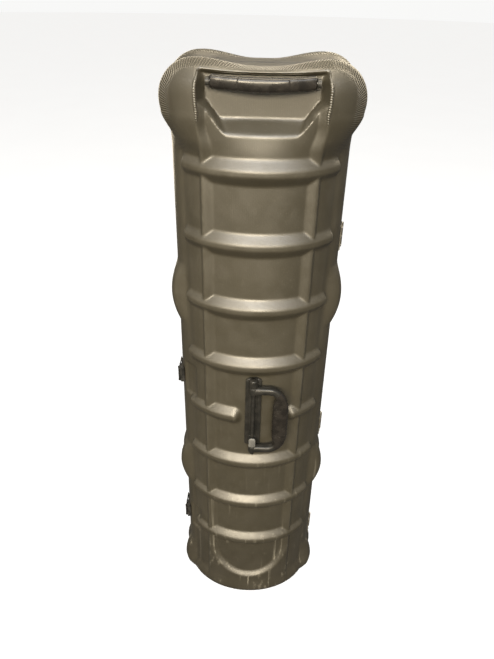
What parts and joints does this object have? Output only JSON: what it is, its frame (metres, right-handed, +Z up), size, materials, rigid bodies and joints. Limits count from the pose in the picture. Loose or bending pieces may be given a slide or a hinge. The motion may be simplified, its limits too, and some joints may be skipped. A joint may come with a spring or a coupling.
{
  "type": "golf travel case",
  "caption": "Tall hard golf travel case: two ribbed half shells hinged along one side, latches, wheels, a top pull handle, a folding carrying handle, foam pads and hold-down straps.",
  "frame": {"origin": "middle of the flat foot, on the floor", "axes": "+Z up the height of the case, +X towards the hinge side, front half and handles towards -Y"},
  "size_m": [0.3468, 0.275, 1.3088],
  "materials": {
    "shell_plastic": "satin, finely textured",
    "black_plastic": "satin",
    "grip_plastic": "semi-gloss",
    "grey_plastic": "satin",
    "steel": "plated",
    "tyre": "matte",
    "hub": "satin",
    "foam": "soft foam",
    "webbing": "woven"
  },
  "bodies": {
    "case_back": {"back_shell": "shell_plastic", "rim_tongue": "black_plastic", "hinge_leaves_back": "shell_plastic", "hinge_pins": "steel", "hinge_rivets_back": "steel", "latch_keepers": "black_plastic", "keeper_rivets": "steel", "wheel_housing_left": "black_plastic", "wheel_housing_right": "black_plastic", "housing_screws": "steel", "axle_left": "steel", "axle_right": "steel", "head_pad_back": "foam", "base_pad_back": "foam", "straps_left": "webbing", "straps_right": "webbing", "buckle_sockets": "black_plastic", "buckle_plugs": "black_plastic", "strap_anchors": "black_plastic"},
    "case_front": {"front_shell": "shell_plastic", "hinge_leaves_front": "shell_plastic", "hinge_rivets_front": "steel", "head_pad_front": "foam", "base_pad_front": "foam", "latch_base_upper": "black_plastic", "latch_base_lower": "black_plastic", "latch_pins": "steel", "base_rivets": "steel", "pull_brackets": "black_plastic", "pull_screws": "steel", "pull_pins": "steel", "carry_plate": "black_plastic", "carry_screws": "steel", "carry_rod": "black_plastic", "carry_tab": "grey_plastic"},
    "wheel_left": {"wheel_hub_left": "hub", "wheel_tyre_left": "tyre"},
    "wheel_right": {"wheel_hub_right": "hub", "wheel_tyre_right": "tyre"},
    "lever_upper": {"latch_lever_upper": "black_plastic"},
    "lever_lower": {"latch_lever_lower": "black_plastic"},
    "loop_upper": {"latch_loop_upper": "steel"},
    "loop_lower": {"latch_loop_lower": "steel"},
    "pull_handle": {"pull_frame": "black_plastic", "pull_grip": "grip_plastic"},
    "carry_handle": {"carry_bail": "black_plastic", "carry_grip": "grip_plastic"}
  },
  "joints": [
    {"name": "lid_hinge", "type": "hinge", "parent": "case_back", "child": "case_front", "pos_m": [0.1642, 0, 0.55], "axis": [0, 0, 1], "range_deg": [0, 105]},
    {"name": "wheel_left_spin", "type": "hinge", "parent": "case_back", "child": "wheel_left", "pos_m": [-0.1, 0.107, 0.031], "axis": [1, 0, 0], "continuous": true},
    {"name": "wheel_right_spin", "type": "hinge", "parent": "case_back", "child": "wheel_right", "pos_m": [0.1, 0.107, 0.031], "axis": [1, 0, 0], "continuous": true},
    {"name": "lever_upper_hinge", "type": "hinge", "parent": "case_front", "child": "lever_upper", "pos_m": [-0.1662, -0.03, 0.661], "axis": [0, 0, 1], "range_deg": [0, 110]},
    {"name": "loop_upper_hinge", "type": "hinge", "parent": "lever_upper", "child": "loop_upper", "pos_m": [-0.1662, -0.017, 0.661], "axis": [0, 0, 1], "range_deg": [-110, 0]},
    {"name": "lever_lower_hinge", "type": "hinge", "parent": "case_front", "child": "lever_lower", "pos_m": [-0.1662, -0.03, 0.215], "axis": [0, 0, 1], "range_deg": [0, 110]},
    {"name": "loop_lower_hinge", "type": "hinge", "parent": "lever_lower", "child": "loop_lower", "pos_m": [-0.1662, -0.017, 0.215], "axis": [0, 0, 1], "range_deg": [-110, 0]},
    {"name": "pull_handle_hinge", "type": "hinge", "parent": "case_front", "child": "pull_handle", "pos_m": [0, -0.101, 1.279], "axis": [-1, 0, 0], "range_deg": [0, 35]},
    {"name": "carry_handle_hinge", "type": "hinge", "parent": "case_front", "child": "carry_handle", "pos_m": [0, -0.1275, 0.613], "axis": [0, 0, -1], "range_deg": [0, 100]}
  ],
  "couplings": [
    {"joint": "loop_upper_hinge", "follows": "lever_upper_hinge", "ratio": -1},
    {"joint": "loop_lower_hinge", "follows": "lever_lower_hinge", "ratio": -1}
  ]
}
